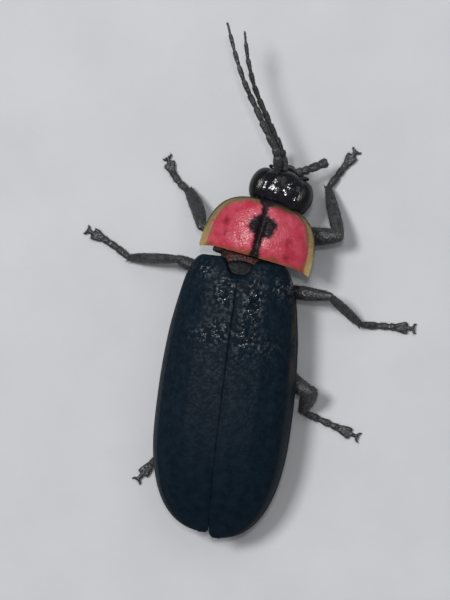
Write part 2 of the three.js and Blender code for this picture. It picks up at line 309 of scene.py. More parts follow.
class Nodes:
    """A short way to build one material's node tree."""

    def __init__(self, name: str) -> None:
        """Starts a material with a Principled shader.

        Args:
            name: the material's name.
        """
        self.material = bpy.data.materials.new(name)
        self.material.use_nodes = True
        self.tree = self.material.node_tree
        self.shader = self.tree.nodes["Principled BSDF"]
        self.place = self.tree.nodes.new("ShaderNodeTexCoord").outputs["Object"]

    def link(self, source: Socket, target: Socket) -> None:
        """Joins two sockets."""
        self.tree.links.new(source, target)

    def noise(self, per_mm: float, detail: float = 4.0, rough: float = 0.55) -> Socket:
        """A cloudy pattern of so many cells a millimetre.

        Args:
            per_mm: cells a millimetre.
            detail: how many finer layers it has.
            rough: how strong the finer layers are.

        Returns:
            The pattern's value.
        """
        node = self.tree.nodes.new("ShaderNodeTexNoise")
        node.inputs["Scale"].default_value = per_mm / MM
        node.inputs["Detail"].default_value = detail
        node.inputs["Roughness"].default_value = rough
        self.link(self.place, node.inputs["Vector"])
        return node.outputs["Fac"]

    def cells(self, per_mm: float, randomness: float = 1.0) -> Socket:
        """The distance to the nearest of scattered points.

        Args:
            per_mm: points a millimetre.
            randomness: how far the points stray from a grid.

        Returns:
            The distance, in cells.
        """
        node = self.tree.nodes.new("ShaderNodeTexVoronoi")
        node.inputs["Scale"].default_value = per_mm / MM
        node.inputs["Randomness"].default_value = randomness
        self.link(self.place, node.inputs["Vector"])
        return node.outputs["Distance"]

    def span(self, source: Socket, low: float, high: float, to_low: float = 0.0,
             to_high: float = 1.0) -> Socket:
        """Maps the values from low to high onto another range.

        Args:
            source: the value.
            low: the value that becomes to_low.
            high: the value that becomes to_high.
            to_low: the first end of the new range.
            to_high: the other end of the new range.

        Returns:
            The new value.
        """
        node = self.tree.nodes.new("ShaderNodeMapRange")
        for key, value in (("From Min", low), ("From Max", high), ("To Min", to_low), ("To Max", to_high)):
            node.inputs[key].default_value = value
        self.link(source, node.inputs["Value"])
        return node.outputs["Result"]

    def cloud(self, per_mm: float, detail: float, low: float, high: float, to_low: float = 0.0,
              to_high: float = 1.0) -> Socket:
        """A cloudy pattern whose values from low to high are mapped onto another range."""
        return self.span(self.noise(per_mm, detail), low, high, to_low, to_high)

    def combine(self, kind: str, a: Socket, b: Socket) -> Socket:
        """Joins two values by arithmetic.

        Args:
            kind: the operation, such as MULTIPLY.
            a: the first value.
            b: the second value.

        Returns:
            The result.
        """
        node = self.tree.nodes.new("ShaderNodeMath")
        node.operation = kind
        self.link(a, node.inputs[0])
        self.link(b, node.inputs[1])
        return node.outputs[0]

    def blend(self, share: Socket, first: Socket | Triple, second: Socket | Triple) -> Socket:
        """Mixes two colours, each a socket or three numbers.

        Args:
            share: how much of the second colour shows.
            first: the colour at a share of 0.
            second: the colour at a share of 1.

        Returns:
            The mixed colour.
        """
        node = self.tree.nodes.new("ShaderNodeMix")
        node.data_type = "RGBA"
        self.link(share, node.inputs["Factor"])
        for key, colour in (("A", first), ("B", second)):
            socket = next(s for s in node.inputs if s.name == key and s.type == "RGBA")
            if isinstance(colour, tuple):
                socket.default_value = (*colour, 1.0)
            else:
                self.link(colour, socket)
        return next(s for s in node.outputs if s.type == "RGBA")

    def marks(self, name: str) -> tuple[Socket, ...]:
        """The three channels of a colour attribute.

        Args:
            name: the attribute's name.

        Returns:
            Its red, green and blue.
        """
        node = self.tree.nodes.new("ShaderNodeAttribute")
        node.attribute_name = name
        split = self.tree.nodes.new("ShaderNodeSeparateColor")
        self.link(node.outputs["Color"], split.inputs["Color"])
        return tuple(split.outputs[:3])

    def bump(self, height: Socket, depth_mm: float, below: Socket | None = None) -> Socket:
        """Raises the surface by a pattern.

        Args:
            height: the pattern.
            depth_mm: how far a full step of the pattern stands out.
            below: the normal of an earlier bump, or None.

        Returns:
            The new normal.
        """
        node = self.tree.nodes.new("ShaderNodeBump")
        node.inputs["Strength"].default_value = 1.0
        node.inputs["Distance"].default_value = depth_mm * MM
        self.link(height, node.inputs["Height"])
        if below is not None:
            self.link(below, node.inputs["Normal"])
        return node.outputs["Normal"]

    def wear(self, colour: Socket, rough: Socket | float, normal: Socket, **values: float) -> None:
        """Sets the shader's colour, roughness, normal and plain numbers.

        Args:
            colour: its base colour.
            rough: its roughness.
            normal: its normal.
            values: other inputs, by name with underscores for spaces.
        """
        for key, value in (("Base Color", colour), ("Roughness", rough)):
            if isinstance(value, Socket):
                self.link(value, self.shader.inputs[key])
            else:
                self.shader.inputs[key].default_value = value
        self.link(normal, self.shader.inputs["Normal"])
        for key, value in values.items():
            self.shader.inputs[key.replace("_", " ")].default_value = value


@dataclass(frozen=True)
class WingCaseFinish:
    """Near-black granular cuticle that glints in tiny specks towards its base."""

    deep: Triple = (0.0034, 0.0084, 0.0148)
    bloom: Triple = (0.0066, 0.0146, 0.0235)
    # rim: painted sheen, the lighter tone where the side rim turns away at a grazing angle
    rim: Triple = (0.017, 0.026, 0.034)
    streak: Triple = (0.075, 0.052, 0.026)
    granule_depth: float = 0.09
    grain_depth: float = 0.012
    rough: tuple[float, float] = (0.52, 0.13)
    shine: tuple[float, float] = (0.05, 0.8)

    def build(self) -> bpy.types.Material:
        """Makes the material; the attribute marks holds the painted sheen along the side rim, granules and
        streaks.

        Returns:
            The material.
        """
        n = Nodes("wing_case")
        rim, grains, streak = n.marks("marks")
        colour = n.blend(n.cloud(2.5, 4.0, 0.35, 0.7), self.deep, self.bloom)
        # lightens the side rim with painted sheen
        colour = n.blend(rim, colour, self.rim)
        colour = n.blend(streak, colour, self.streak)
        speck = n.combine("MULTIPLY", n.cloud(5.0, 2.0, 0.5, 0.56), grains)
        granules = n.combine("MULTIPLY", n.cells(6.0), n.span(grains, 0.0, 1.0, 0.15, 1.0))
        normal = n.bump(granules, self.granule_depth)
        normal = n.bump(n.noise(9.0, 3.0), self.grain_depth, normal)
        n.wear(colour, n.span(speck, 0.0, 1.0, *self.rough), normal)
        n.link(n.span(speck, 0.0, 1.0, *self.shine), n.shader.inputs["Specular IOR Level"])
        return n.material


@dataclass(frozen=True)
class ShieldFinish:
    """Rose cuticle under a clear gloss, with a black cross and an olive-gold rim."""

    rose: Triple = (0.46, 0.029, 0.059)
    pink: Triple = (0.55, 0.074, 0.118)
    blood: Triple = (0.16, 0.006, 0.010)
    olive: Triple = (0.20, 0.145, 0.062)
    gold: Triple = (0.33, 0.245, 0.085)
    amber: Triple = (0.22, 0.060, 0.020)
    # edge: colour of the thin dark edge line, and of the painted shadow of the head on the front margin
    edge: Triple = (0.022, 0.014, 0.009)
    black: Triple = (0.010, 0.005, 0.007)
    swell_depth: float = 0.045
    pit_depth: float = 0.011
    rough: tuple[float, float] = (0.24, 0.42)
    shine: tuple[float, float] = (0.42, 0.08)
    glow: float = 0.1
    glow_reach: float = 0.0003

    def build(self) -> bpy.types.Material:
        """Makes the material from the attributes marks and margins.

        Returns:
            The material.
        """
        n = Nodes("shield")
        cross, spot, deep = n.marks("marks")
        rim, gold, hind = n.marks("margins")
        colour = n.blend(n.cloud(1.9, 5.0, 0.4, 0.66), self.rose, self.pink)
        colour = n.blend(spot, colour, self.blood)
        colour = n.blend(hind, colour, self.amber)
        colour = n.blend(rim, colour, n.blend(gold, self.olive, self.gold))
        # darkens the thin edge line and paints the head's shadow on the front margin
        colour = n.blend(deep, colour, self.edge)
        colour = n.blend(cross, colour, self.black)
        normal = n.bump(n.noise(2.2, 2.0), self.swell_depth)
        normal = n.bump(n.cells(9.0), self.pit_depth, normal)
        rough = n.cloud(6.0, 3.0, 0.3, 0.7, *self.rough)
        n.wear(colour, rough, normal, Subsurface_Weight=self.glow, Subsurface_Scale=self.glow_reach)
        shine = n.span(n.combine("MAXIMUM", cross, rim), 0.0, 1.0, *self.shine)
        n.link(shine, n.shader.inputs["Specular IOR Level"])
        return n.material


@dataclass(frozen=True)
class GlossFinish:
    """Polished black cuticle with fine pits."""

    name: str = "skull"
    colour: Triple = (0.0045, 0.0045, 0.0075)
    bloom: Triple = (0.009, 0.009, 0.014)
    pits_per_mm: float = 12.0
    pit_depth: float = 0.0025
    lump_depth: float = 0.06
    order: float = 1.0
    rough: tuple[float, float] = (0.07, 0.16)
    shine: float = 0.4

    def build(self) -> bpy.types.Material:
        """Makes the material.

        Returns:
            The material.
        """
        n = Nodes(self.name)
        colour = n.blend(n.cloud(3.0, 4.0, 0.4, 0.7), self.colour, self.bloom)
        normal = n.bump(n.noise(2.3, 1.5, 0.4), self.lump_depth)
        normal = n.bump(n.cells(self.pits_per_mm, self.order), self.pit_depth, normal)
        rough = n.cloud(8.0, 3.0, 0.3, 0.7, *self.rough)
        n.wear(colour, rough, normal, Specular_IOR_Level=self.shine)
        return n.material


@dataclass(frozen=True)
class LimbFinish:
    """Dark grey, finely grained cuticle of the legs, feelers and palps."""

    dark: Triple = (0.014, 0.015, 0.017)
    pale: Triple = (0.052, 0.055, 0.060)
    pit_depth: float = 0.028
    grain_depth: float = 0.012
    rough: tuple[float, float] = (0.28, 0.55)
    shine: float = 0.5

    def build(self) -> bpy.types.Material:
        """Makes the material.

        Returns:
            The material.
        """
        n = Nodes("limb")
        colour = n.blend(n.cloud(5.0, 5.0, 0.35, 0.72), self.dark, self.pale)
        normal = n.bump(n.cells(9.0), self.pit_depth)
        normal = n.bump(n.noise(16.0, 2.0), self.grain_depth, normal)
        rough = n.cloud(5.0, 3.0, 0.35, 0.65, *self.rough)
        n.wear(colour, rough, normal, Specular_IOR_Level=self.shine)
        return n.material


@dataclass(frozen=True)
class UndersideFinish:
    """Black-brown belly with a waxy cream light organ and red-brown skin behind the shield."""

    dark: Triple = (0.007, 0.006, 0.006)
    pale: Triple = (0.026, 0.021, 0.019)
    joint: Triple = (0.075, 0.045, 0.032)
    cream: Triple = (0.80, 0.74, 0.50)
    ivory: Triple = (0.62, 0.55, 0.33)
    russet: Triple = (0.055, 0.010, 0.006)
    pit_depth: float = 0.02
    swell_depth: float = 0.03
    rough: tuple[float, float] = (0.28, 0.6)
    shine: float = 0.22

    def build(self) -> bpy.types.Material:
        """Makes the material; the attribute marks holds the light organ, joint skins and russet skin.

        Returns:
            The material.
        """
        n = Nodes("underside")
        organ, joint, russet = n.marks("marks")
        cloud = n.cloud(4.0, 5.0, 0.35, 0.7)
        colour = n.blend(cloud, self.dark, self.pale)
        colour = n.blend(joint, colour, self.joint)
        colour = n.blend(organ, colour, n.blend(cloud, self.cream, self.ivory))
        colour = n.blend(russet, colour, self.russet)
        normal = n.bump(n.cells(10.0), self.pit_depth)
        normal = n.bump(n.noise(6.0, 3.0), self.swell_depth, normal)
        rough = n.cloud(9.0, 3.0, 0.3, 0.7, *self.rough)
        n.wear(colour, rough, normal, Specular_IOR_Level=self.shine)
        return n.material


@dataclass(frozen=True)
class HairFinish:
    """Fine hair, darker in patches."""

    name: str = "hair"
    dark: Triple = (0.018, 0.018, 0.020)
    pale: Triple = (0.10, 0.105, 0.11)
    grain_depth: float = 0.002
    rough: float = 0.5
    shine: float = 0.3

    def build(self) -> bpy.types.Material:
        """Makes the material.

        Returns:
            The material.
        """
        n = Nodes(self.name)
        colour = n.blend(n.cloud(6.0, 2.0, 0.35, 0.65), self.dark, self.pale)
        normal = n.bump(n.noise(60.0, 2.0), self.grain_depth)
        n.wear(colour, self.rough, normal, Specular_IOR_Level=self.shine)
        return n.material


def paint(piece: bpy.types.Object, colour_of: Callable[[Vector], Triple],
          name: str = "marks") -> None:
    """Writes a colour attribute from each point's place.

    Args:
        piece: the object, still in millimetres.
        colour_of: gives three shares for a point.
        name: the attribute's name.
    """
    layer = piece.data.color_attributes.new(name, "FLOAT_COLOR", "POINT")
    for vert, entry in zip(piece.data.vertices, layer.data):
        entry.color = (*colour_of(vert.co), 1.0)


@dataclass
class Coat:
    """Short hairs, each a slim three-sided spike, scattered over a skin."""

    name: str
    unwrap: Unwrap
    count: int
    length: float
    thickness: float = 0.010
    lift: float = 0.45
    lie: Vector = field(default_factory=lambda: Vector((0, -1, 0)))
    patch: float = 0.0015
    scatter: float = 0.2
    spread: tuple[float, float] = (0.7, 1.25)
    root_depth: float = 0.02
    tip_share: float = 0.15

    def grow(self, bench: Bench, skin: bpy.types.Object, material: bpy.types.Material,
             keep: Callable[[Vector, Vector], bool]) -> bpy.types.Object:
        """Grows the hairs on a skin that is still in millimetres.

        Args:
            bench: places the piece.
            skin: the object that carries the hairs.
            material: the hair's finish.
            keep: says whether a hair grows at a point with its normal.

        Returns:
            The finished coat.
        """
        rng = random.Random(SEED + len(self.name) + self.count)
        faces = skin.data.polygons
        areas = [face.area for face in faces]
        shape = bmesh.new()
        uv = shape.loops.layers.uv.new("OFBake")
        for index in rng.choices(range(len(faces)), weights=areas, k=self.count):
            root, normal = Vector(faces[index].center), Vector(faces[index].normal)
            if not keep(root, normal):
                continue
            flat = self.lie - normal * self.lie.dot(normal)
            heading = flat.normalized() + normal * self.lift if flat.length > 0.05 else normal.copy()
            heading += Vector([rng.uniform(-self.scatter, self.scatter) for _ in range(3)])
            heading.normalize()
            length = self.length * rng.uniform(*self.spread)
            turn = heading.to_track_quat("Z", "Y").to_matrix().to_4x4()
            middle = Matrix.Translation(root + heading * (length / 2 - self.root_depth)) @ turn
            made = bmesh.ops.create_cone(shape, cap_ends=True, segments=3, radius1=self.thickness,
                                         radius2=self.thickness * self.tip_share, depth=length,
                                         matrix=middle)
            spot = self.unwrap.spot(root)
            for face in {f for v in made["verts"] for f in v.link_faces}:
                for corner, loop in enumerate(face.loops):
                    angle = corner * 2 * math.pi / len(face.loops)
                    loop[uv].uv = (spot[0] + self.patch * math.cos(angle),
                                   spot[1] + self.patch * math.sin(angle))
        piece = bench.mesh(self.name, shape)
        return bench.finish_piece(piece, material)


@dataclass
class WingCase:
    """One domed wing case with three low ribs, a rolled rim and a round end."""

    side: Side
    length: float
    shoulder: float = 2.6
    shoulder_from: float = 1.75
    widest: float = 3.26
    widest_at: float = 7.0
    narrows_from: float = 7.5
    end_power: float = 2.5
    seam_end: float = 0.7
    front_y: float = 1.5
    notch: float = 0.75
    notch_width: float = 0.62
    seam: float = 0.006
    thickness: float = 0.14
    end_share: float = 0.15
    ribs: tuple[float, ...] = (0.3, 0.52, 0.72)
    rib_height: float = 0.032
    rib_width: float = 0.045
    roll: float = 0.05
    bead: float = 0.012
    lip: float = 0.16
    wave: float = 0.02
    # Each cluster of glints: X, Y, half width, half length and strength.
    glints: tuple[tuple[float, ...], ...] = (
        (-0.5, -0.18, 0.42, 0.55, 1.0), (0.9, -0.65, 0.36, 0.9, 1.1), (2.3, 0.3, 0.6, 0.45, 1.0),
        (-0.6, -2.1, 0.6, 0.4, 0.6), (0.8, -2.3, 0.36, 0.6, 0.9), (-1.7, 0.83, 0.36, 0.32, 0.9),
        (1.9, -2.6, 0.5, 0.5, 0.4), (-1.5, -2.4, 0.45, 0.3, 0.5))
    streak_at: tuple[float, float] = (0.955, 3.9)  # share across, millimetres back
    front_height: float = 0.62  # share of the full height
    across: int = 90
    along: int = 210

    def half_width(self, distance: float) -> float:
        """Half width of the two cases at a distance from their front.

        Args:
            distance: how far behind the front edge, in millimetres.

        Returns:
            The half width.
        """
        width = lerp(self.shoulder, self.widest, math.sin(min(1.0, distance / self.widest_at) * math.pi / 2))
        share = max(0.0, min(1.0, (distance - self.narrows_from) / (self.length - self.narrows_from)))
        return width * (1 - share ** self.end_power) ** (1 / self.end_power)

    def height(self, distance: float) -> float:
        """Height of the dome above the side rims at a distance from the front.

        Args:
            distance: how far behind the front edge, in millimetres.

        Returns:
            The height.
        """
        share = distance / self.length
        front = lerp(self.front_height, 1.0, math.sin(min(1.0, share / 0.3) * math.pi / 2))
        back = (1 - max(0.0, (share - 0.55) / 0.45) ** 2.4) ** 0.8
        return (CREST_Z - MARGIN_Z) * front * back

    def front_edge(self, x: float) -> float:
        """Y of the front edge: a notch by the seam and a round shoulder.

        Args:
            x: how far from the seam.

        Returns:
            Y of the edge.
        """
        notch = self.notch * math.exp(-((x / self.notch_width) ** 4))
        shoulder = max(0.0, (x - self.shoulder_from) / (self.shoulder - self.shoulder_from)) ** 2.4
        return self.front_y - notch - shoulder

    def point(self, u: float, v: float) -> Vector:
        """The outer surface at a share u from seam to rim and v from front to end.

        Args:
            u: the share from the seam to the side rim.
            v: the share from the front to the end.

        Returns:
            The point.
        """
        angle = u * math.pi / 2
        distance = self.length * math.sin(v * 0.985 * math.pi / 2) ** 1.15
        half_width = self.half_width(distance)
        tip = max(0.0, (distance - self.length + self.seam_end) / self.seam_end)
        inner = self.seam + 0.09 * tip ** 3 + 0.14 * max(0.0, (tip - 0.75) / 0.25) ** 2
        x = inner + max(0.3, half_width - inner) * max(0.0, math.sin(angle)) ** 0.85
        rib = sum(bell(u - place, self.rib_width) for place in self.ribs)
        rib *= math.sin(min(1.0, v * 1.15) * math.pi) ** 0.5
        roll = self.roll * bell(u - 0.985, 0.03)
        bead = self.bead * bell(u, 0.012)
        z = MARGIN_Z + max(0.12, self.height(distance)) * max(0.0, math.cos(angle)) ** 0.85
        y = lerp(self.front_edge(x), self.front_y - distance, min(1.0, distance / 2.5))
        y = min(y, self.front_edge(x) - distance * 0.2)
        lip = self.lip * bell(v, 0.02) * (1 - u)
        wave = self.wave * noise.noise(Vector((x * 1.3, y * 0.7, 3.1)))
        place = Vector((self.side.value * x, y, z + self.rib_height * rib + bead + wave - lip))
        place.x += self.side.value * roll
        return place

    def marks(self, place: Vector) -> Triple:
        """Shares of the painted sheen along the rim, granules and brown streaks at a point.

        Args:
            place: the point, in millimetres.

        Returns:
            The three shares.
        """
        distance = self.front_y - place.y
        width = max(0.4, self.half_width(max(0.0, min(self.length, distance))))
        u = abs(place.x) / width
        # painted sheen along the side rim, from a few millimetres behind the front
        rim = 0.7 * step(u, 0.9, 0.96) * step(distance, 3.0, 8.0)
        lit = sum(share * bell(math.hypot((place.x - x) / wide, (place.y - y) / long), 1.0)
                  for x, y, wide, long, share in self.glints)
        grains = min(1.0, lit + 0.1 * bell(place.x / 2.8, 1.0) * (1 - step(distance, 3.0, 10.0)))
        streak = 0.0
        if self.side is Side.RIGHT:
            spots = noise.noise(Vector((place.x * 2.5, place.y * 0.9, 7.0)))
            at_u, at_distance = self.streak_at
            streak = 0.7 * bell(u - at_u, 0.03) * bell(distance - at_distance, 1.7) * step(spots, -0.1, 0.3)
        dashes = noise.noise(Vector((0.0, place.y * 2.2, 4.0)))
        seam = bell(place.x, 0.07) * step(distance, 4.0, 7.0) * (1 - step(distance, 9.5, 11.0))
        return rim, grains, max(streak, 0.1 * seam * step(dashes, -0.2, 0.2))

    def build(self, bench: Bench) -> bpy.types.Object:
        """Makes the case as a thin closed shell, still in millimetres.

        Args:
            bench: makes the object.

        Returns:
            The piece.
        """
        name = self.side.name.lower()
        shape = bmesh.new()
        made = bmesh.ops.create_grid(shape, x_segments=self.across, y_segments=self.along, size=0.5)
        for vert in made["verts"]:
            vert.co = self.point(vert.co.x + 0.5, vert.co.y + 0.5)
        bmesh.ops.recalc_face_normals(shape, faces=shape.faces)
        if sum(face.normal.z for face in shape.faces) < 0:
            bmesh.ops.reverse_faces(shape, faces=shape.faces)
        shape.normal_update()
        made = bmesh.ops.extrude_face_region(shape, geom=shape.faces[:], use_keep_orig=True)
        for vert in (piece for piece in made["geom"] if isinstance(piece, bmesh.types.BMVert)):
            thin = step(self.front_y - self.length - vert.co.y, -1.2, -0.05)
            vert.co -= vert.normal * self.thickness * lerp(1.0, self.end_share, thin)
        piece = bench.mesh(f"wing_case_{name}", shape)
        paint(piece, self.marks)
        return piece


@dataclass
class Shield:
    """The D-shaped shield over the first thorax ring, with its groove, rim and black cross."""

    x: float = 0.79
    y: float = 2.86
    yaw: float = 9.0
    half_width: float = 2.76
    hind_y: float = -1.45
    length: float = 3.0
    edge_z: float = 2.85
    rise: float = 0.95
    front_share: float = 0.74
    groove: float = 0.12
    groove_width: float = 0.2
    wave: float = 0.03
    thick: tuple[float, float] = (0.42, 0.1)  # in the middle and at the rim
    spots: tuple[tuple[float, float], ...] = ((-1.6, -0.5), (1.45, -0.15), (1.5, -0.85), (-1.75, 0.1))
    around: int = 260
    along: int = 130

    def turn(self) -> Matrix:
        """The matrix from the shield's own frame to the animal's."""
        return turned((self.x, self.y, 0), self.yaw)

    def outline(self, share: float) -> Vector:
        """The point of the outline at a share of the way round, from the right hind corner.

        Args:
            share: how far round, 0 to 1.

        Returns:
            The point.
        """
        if share < self.front_share:
            angle = share / self.front_share * math.pi
            return Vector((self.half_width * power(math.cos(angle), 2 / 3),
                           self.hind_y + self.length * max(0.0, math.sin(angle)) ** (2 / 3), 0))
        x = lerp(-1.0, 1.0, (share - self.front_share) / (1 - self.front_share))
        return Vector((self.half_width * x, self.hind_y + 0.22 * (1 - x ** 6), 0))

    def top(self, x: float, y: float) -> float:
        """Height of the upper surface over a point of its own frame.

        Args:
            x: to the right in its own frame.
            y: forwards in its own frame.

        Returns:
            The height.
        """
        front = max(0.0, y - self.hind_y) / self.length
        half = self.half_width * (1 - min(0.97, front) ** 3) ** (1 / 3)
        across = max(0.0, 1 - abs(x / (0.88 * half)) ** 2.1)
        along = lerp(0.8, 1.0, math.sin(min(1.0, front / 0.35) * math.pi / 2)) - 0.42 * front ** 2.5
        groove = self.groove * bell(x, self.groove_width) * math.sin(min(1.0, front) * math.pi)
        wave = self.wave * noise.noise(Vector((x * 1.6, y * 1.6, 1.0)))
        return self.edge_z + self.rise * along * across ** 0.75 - groove + wave * across

    def marks(self, place: Vector) -> Triple:
        """Shares of the black cross, the dark red spots and the dark front edge, with the painted shadow of
        the head behind it, at a point.

        Args:
            place: the point, in millimetres.

        Returns:
            The three shares.
        """
        own = self.turn().inverted() @ place
        ragged = 0.2 * noise.noise(Vector((own.x * 2.6, own.y * 2.6, 2.0)))
        ragged += 0.16 * noise.noise(Vector((own.x * 7, own.y * 7, 5.0)))
        front = (own.y - self.hind_y) / self.length
        wide = lerp(0.27, 0.19, step(front, 0.1, 0.45)) + 0.25 * step(front, 0.88, 1.0)
        stem = 1 - step(abs(own.x - lerp(0.05, -0.11, front) + ragged * 0.35), wide * 0.6, wide * 1.3)
        patch = 1 - step(math.hypot((own.x - 0.04) / 0.74, (own.y - 0.3) / 0.56) + 0.9 * ragged, 0.8, 1.14)
        spots = max(bell(math.hypot(own.x - x, own.y - y), 0.2) for x, y in self.spots)
        edge = self.edge_share(own)
        deep = step(edge, 0.965, 1.0) * step(front, 0.2, 0.5)
        # painted shadow of the head on the front margin behind it
        deep += 0.8 * step(edge, 0.86, 0.95) * bell(own.x - 0.5, 1.2)
        return max(stem, patch), 0.75 * spots * step(ragged, -0.12, 0.04), min(1.0, deep)

    def edge_share(self, own: Vector) -> float:
        """How far out towards the side and front margins a point of the shield's own frame lies."""
        front = max(0.0, own.y - self.hind_y) / self.length
        return (min(abs(own.x) / self.half_width, 1.2) ** 3 + front ** 3) ** (1 / 3)

    def margins(self, place: Vector) -> Triple:
        """Shares of the olive rim, of its golden hind corners and of the amber hind margin at a point.

        Args:
            place: the point, in millimetres.

        Returns:
            The three shares.
        """
        own = self.turn().inverted() @ place
        ragged = 0.05 * noise.noise(Vector((own.x * 2.5, own.y * 2.5, 9.0)))
        front = (own.y - self.hind_y) / self.length
        rim = step(self.edge_share(own) + ragged, lerp(0.83, 0.93, step(front, 0.5, 0.9)), 0.94)
        gold = step(abs(own.x), 2.1, 2.75) * (1 - step(front, 0.05, 0.55))
        hind = 1 - step(front + ragged - 0.05 * bell(own.x, 1.1), 0.05, 0.15)
        return rim, gold, 0.9 * hind

    def build(self, bench: Bench) -> bpy.types.Object:
        """Makes the shield as a closed lens, still in millimetres.

        Args:
            bench: makes the object.

        Returns:
            The piece.
        """
        shape = bmesh.new()

        def place(share: float, angle: float) -> Vector:
            """The point on the upper side for share up to a half, then on the lower side.

            Args:
                share: how far from pole to pole, 0 to 1.
                angle: the angle about the poles.

            Returns:
                The point.
            """
            reach = 1 - abs(1 - 2 * share) ** 1.15
            edge = self.outline((angle / (2 * math.pi)) % 1.0)
            x, y = edge.x * reach, edge.y * reach
            z = self.top(x, y)
            if share > 0.5:
                z -= lerp(*self.thick, reach ** 3)
            return Vector((x, y, z))

        add_ball(shape, self.around, self.along, place)
        bmesh.ops.transform(shape, matrix=self.turn(), verts=shape.verts)
        piece = bench.mesh("shield", shape)
        paint(piece, self.marks)
        paint(piece, self.margins, "margins")
        return piece


def add_pillow(shape: bmesh.types.BMesh, centre: Vector, semi: Triple, turn: Matrix,
               exponent: float = 0.7, around: int = 64, along: int = 40) -> None:
    """Adds a rounded block: an ellipsoid with fuller corners.

    Args:
        shape: the bmesh that takes it.
        centre: its centre, before the turn.
        semi: half its size along X, Y and Z.
        turn: the matrix that moves it to its place.
        exponent: the lower, the fuller its corners.
        around: points around each ring.
        along: rings from pole to pole.
    """
    def place(share: float, angle: float) -> Vector:
        """The point on the block.

        Args:
            share: how far from pole to pole, 0 to 1.
            angle: the angle about the poles.

        Returns:
            The point.
        """
        side = max(0.0, math.sin(share * math.pi)) ** (exponent * 0.86)
        own = Vector((semi[0] * side * power(math.cos(angle), exponent),
                      semi[1] * power(math.cos(share * math.pi), exponent * 1.14),
                      semi[2] * side * power(math.sin(angle), exponent)))
        return turn @ (centre + own)

    add_ball(shape, around, along, place)


@dataclass
class Head:
    """The exposed head: a broad skull with muzzle, jaws and neck, and the two eyes."""

    x: float = 1.42
    y: float = 4.92
    z: float = 2.42
    yaw: float = 13.0
    skull: Triple = (1.22, 1.06, 0.72)
    eye: Triple = (0.62, 0.89, 0.64)
    eye_out: float = 0.96
    eye_up: float = -0.06
    middle: tuple[tuple[Triple, Triple], ...] = (
        ((0, 0.88, -0.32), (0.5, 0.42, 0.3)),  # muzzle
        ((0, -0.95, -0.2), (0.8, 0.85, 0.48)),  # neck
        ((0, 1.2, -0.42), (0.3, 0.18, 0.1)),  # upper lip
    )
    paired: tuple[tuple[Triple, Triple, float], ...] = (
        ((0.72, -0.05, 0.22), (0.46, 0.86, 0.4), 0.0),  # ridge by the eye
        ((0.36, 0.4, 0.42), (0.32, 0.4, 0.26), 0.0),  # forehead
        ((0.3, 0.76, 0.14), (0.25, 0.18, 0.22), -0.2),  # seat of the feeler, off to the left
    )
    jaws: tuple[tuple[Triple, Triple, float, float], ...] = (
        ((0.34, 1.08, -0.48), (0.04, 1.4, -0.52), 0.14, 0.05),  # jaw
        ((0.22, 0.95, -0.62), (0.4, 1.3, -0.78), 0.1, 0.12),  # short palp under the lip
        ((0.45, 0.9, -0.42), (0.98, 1.02, -0.5), 0.15, 0.12),  # base of the long palp
    )
    eye_rings: tuple[int, int] = (72, 48)
    voxel: float = 0.032
    smoothing: int = 9

    def turn(self) -> Matrix:
        """The matrix from the head's own frame to the animal's."""
        return turned((self.x, self.y, self.z), self.yaw)

    def build_skull(self, bench: Bench) -> bpy.types.Object:
        """Makes the skull with its muzzle, jaws and neck as one skin, still in millimetres.

        Args:
            bench: makes the object.

        Returns:
            The piece.
        """
        shape = bmesh.new()
        add_pillow(shape, Vector(), self.skull, Matrix(), 0.86)
        for centre, semi in self.middle:
            add_ellipsoid(shape, Vector(centre), semi)
        for sign in (-1, 1):
            for (x, y, z), semi, shift in self.paired:
                add_ellipsoid(shape, Vector((sign * x + shift, y, z)), semi)
            for (x, y, z), (end_x, end_y, end_z), start_r, end_r in self.jaws:
                Rod(squash=0.7).add(shape, Vector((sign * x, y, z)), Vector((sign * end_x, end_y, end_z)),
                                    start_r, end_r)
        bmesh.ops.transform(shape, matrix=self.turn(), verts=shape.verts)
        piece = bench.mesh("skull", shape)
        bench.melt(piece, self.voxel, self.smoothing)
        return piece

    def build_eye(self, bench: Bench, side: Side) -> bpy.types.Object:
        """Makes one eye, a smooth dome set in the side of the skull, still in millimetres.

        Args:
            bench: makes the object.
            side: which eye it is.

        Returns:
            The piece.
        """
        shape = bmesh.new()
        centre = Vector((side.value * self.eye_out, 0.0, self.eye_up))
        add_ellipsoid(shape, centre, self.eye, *self.eye_rings)
        bmesh.ops.transform(shape, matrix=self.turn(), verts=shape.verts)
        return bench.mesh(f"eye_{side.name.lower()}_dome", shape)


